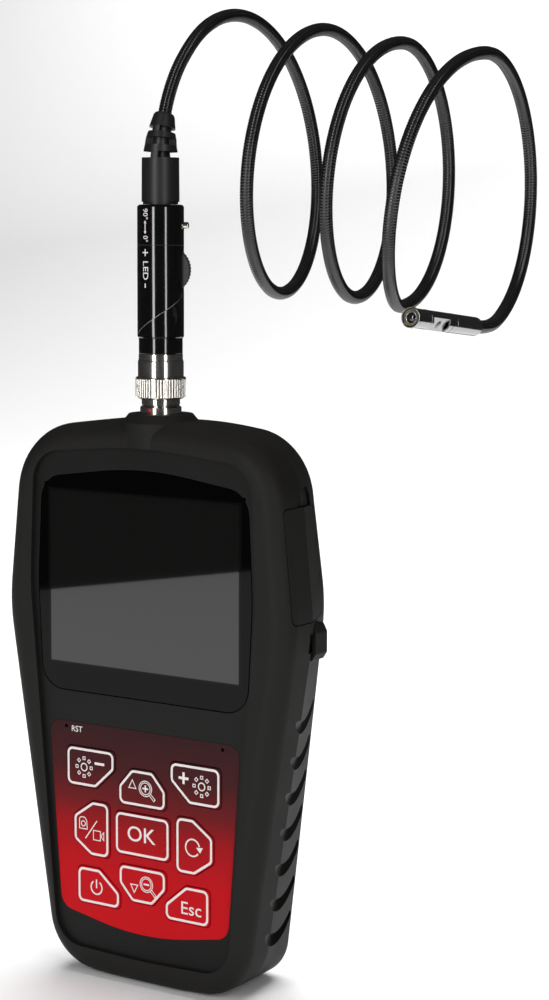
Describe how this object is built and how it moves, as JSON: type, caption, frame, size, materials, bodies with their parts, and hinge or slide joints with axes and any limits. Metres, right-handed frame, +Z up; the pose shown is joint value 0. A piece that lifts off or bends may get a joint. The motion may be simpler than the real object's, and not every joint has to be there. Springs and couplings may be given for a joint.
{
  "type": "inspection camera",
  "caption": "Handheld inspection camera: rubber-booted handset with a screen, keypad and port cover, and a plug-in probe with a stay-put gooseneck and a two-way camera head.",
  "frame": {"origin": "on the ground under the middle of the handset, at the flat of its lower edge", "axes": "+Z up the handset towards the probe, -Y out of the screen, +X towards the side with the port cover"},
  "size_m": [0.1371, 0.109, 0.2942],
  "materials": {
    "boot_rubber": "matte",
    "case_plastic": "satin",
    "screw_steel": "dark zinc",
    "battery_wrap": "shrink film",
    "lens_window": "gloss",
    "gasket_foam": "matte",
    "screen_glass": "gloss",
    "screen_frame": "satin",
    "keypad_print": "satin film, black at the top fading to red",
    "key_print": "satin film, dark at the top fading to red",
    "dome_steel": "bright",
    "circuit_board": "solder resist",
    "part_black": "matte",
    "button_white": "satin",
    "socket_metal": "bright",
    "card_plastic": "satin",
    "contact_gold": "gold plated",
    "plug_chrome": "polished nickel",
    "dot_red": "paint",
    "handle_black": "gloss black",
    "wheel_plastic": "satin",
    "relief_black": "satin",
    "gooseneck_sheath": "gloss, close wound",
    "head_steel": "polished stainless steel",
    "light_window": "clear over yellow chips",
    "camera_glass": "coated"
  },
  "bodies": {
    "handset": {"rubber_boot": "boot_rubber", "front_housing": "case_plastic", "rear_housing": "case_plastic", "case_screws": "screw_steel", "battery_door": "case_plastic", "door_screw": "screw_steel", "battery_pack": "battery_wrap", "display_lens": "lens_window", "display_gasket": "gasket_foam", "lcd_panel": "screen_glass", "lcd_frame": "screen_frame", "keypad_overlay": "keypad_print", "key_domes": "dome_steel", "keypad_board": "circuit_board", "reset_switch": "part_black", "microphone": "socket_metal", "main_board": "circuit_board", "board_chips": "part_black", "board_screws": "screw_steel", "usb_socket": "socket_metal", "av_socket": "part_black", "card_socket": "socket_metal", "receptacle": "plug_chrome", "receptacle_insert": "part_black", "receptacle_pins": "contact_gold", "receptacle_nut": "socket_metal", "alignment_dot": "dot_red"},
    "port_cover": {"port_cover": "boot_rubber"},
    "memory_card": {"memory_card": "card_plastic"},
    "reset_button": {"reset_button": "button_white"},
    "key_light_down": {"key_light_down": "key_print"},
    "key_light_up": {"key_light_up": "key_print"},
    "key_zoom_in": {"key_zoom_in": "key_print"},
    "key_capture": {"key_capture": "key_print"},
    "key_ok": {"key_ok": "key_print"},
    "key_rotate": {"key_rotate": "key_print"},
    "key_power": {"key_power": "key_print"},
    "key_escape": {"key_escape": "key_print"},
    "key_zoom_out": {"key_zoom_out": "key_print"},
    "probe": {"plug_shell": "plug_chrome", "plug_insert": "part_black", "plug_sleeve": "plug_chrome", "neck_ring": "handle_black", "handle_base": "handle_black", "handle_body": "handle_black", "handle_cap": "handle_black", "handle_board": "circuit_board", "dimmer_potentiometer": "part_black", "view_switch": "part_black", "strain_relief": "relief_black", "gooseneck": "gooseneck_sheath", "camera_body": "head_steel", "front_bezel": "head_steel", "light_ring": "light_window", "front_lens": "camera_glass", "side_lens": "camera_glass", "side_lights": "light_window"},
    "coupling_ring": {"coupling_ring": "plug_chrome"},
    "dimmer_wheel": {"dimmer_wheel": "wheel_plastic"},
    "view_button": {"view_button": "plug_chrome"}
  },
  "joints": [
    {"name": "key_light_down_press", "type": "slide", "parent": "handset", "child": "key_light_down", "axis": [0, 1, 0], "range_m": [0, 0.00035], "stiffness_N_per_m": 1500},
    {"name": "key_light_up_press", "type": "slide", "parent": "handset", "child": "key_light_up", "axis": [0, 1, 0], "range_m": [0, 0.00035], "stiffness_N_per_m": 1500},
    {"name": "key_zoom_in_press", "type": "slide", "parent": "handset", "child": "key_zoom_in", "axis": [0, 1, 0], "range_m": [0, 0.00035], "stiffness_N_per_m": 1500},
    {"name": "key_capture_press", "type": "slide", "parent": "handset", "child": "key_capture", "axis": [0, 1, 0], "range_m": [0, 0.00035], "stiffness_N_per_m": 1500},
    {"name": "key_ok_press", "type": "slide", "parent": "handset", "child": "key_ok", "axis": [0, 1, 0], "range_m": [0, 0.00035], "stiffness_N_per_m": 1500},
    {"name": "key_rotate_press", "type": "slide", "parent": "handset", "child": "key_rotate", "axis": [0, 1, 0], "range_m": [0, 0.00035], "stiffness_N_per_m": 1500},
    {"name": "key_power_press", "type": "slide", "parent": "handset", "child": "key_power", "axis": [0, 1, 0], "range_m": [0, 0.00035], "stiffness_N_per_m": 1500},
    {"name": "key_escape_press", "type": "slide", "parent": "handset", "child": "key_escape", "axis": [0, 1, 0], "range_m": [0, 0.00035], "stiffness_N_per_m": 1500},
    {"name": "key_zoom_out_press", "type": "slide", "parent": "handset", "child": "key_zoom_out", "axis": [0, 1, 0], "range_m": [0, 0.00035], "stiffness_N_per_m": 1500},
    {"name": "reset_press", "type": "slide", "parent": "handset", "child": "reset_button", "axis": [0, 1, 0], "range_m": [0, 0.0003], "stiffness_N_per_m": 600},
    {"name": "port_cover_fold", "type": "hinge", "parent": "handset", "child": "port_cover", "pos_m": [0.0529, -0.0014, 0.1155], "axis": [0, 1, 0], "range_deg": [0, 85]},
    {"name": "memory_card_slide", "type": "slide", "parent": "handset", "child": "memory_card", "axis": [1, 0, 0], "range_m": [-0.0008, 0.002]},
    {"name": "probe_unplug", "type": "slide", "parent": "handset", "child": "probe", "axis": [0, 0, 1], "range_m": [0, 0.012]},
    {"name": "coupling_ring_turn", "type": "hinge", "parent": "probe", "child": "coupling_ring", "pos_m": [0, -0.0067, 0.18085], "axis": [0, 0, 1], "continuous": true},
    {"name": "dimmer_turn", "type": "hinge", "parent": "probe", "child": "dimmer_wheel", "pos_m": [0.00154, -0.00588, 0.2157], "axis": [-0.4695, 0.8829, 0], "range_deg": [-135, 135]},
    {"name": "view_button_press", "type": "slide", "parent": "probe", "child": "view_button", "axis": [-0.8829, -0.4695, 0], "range_m": [0, 0.0005], "stiffness_N_per_m": 800}
  ]
}
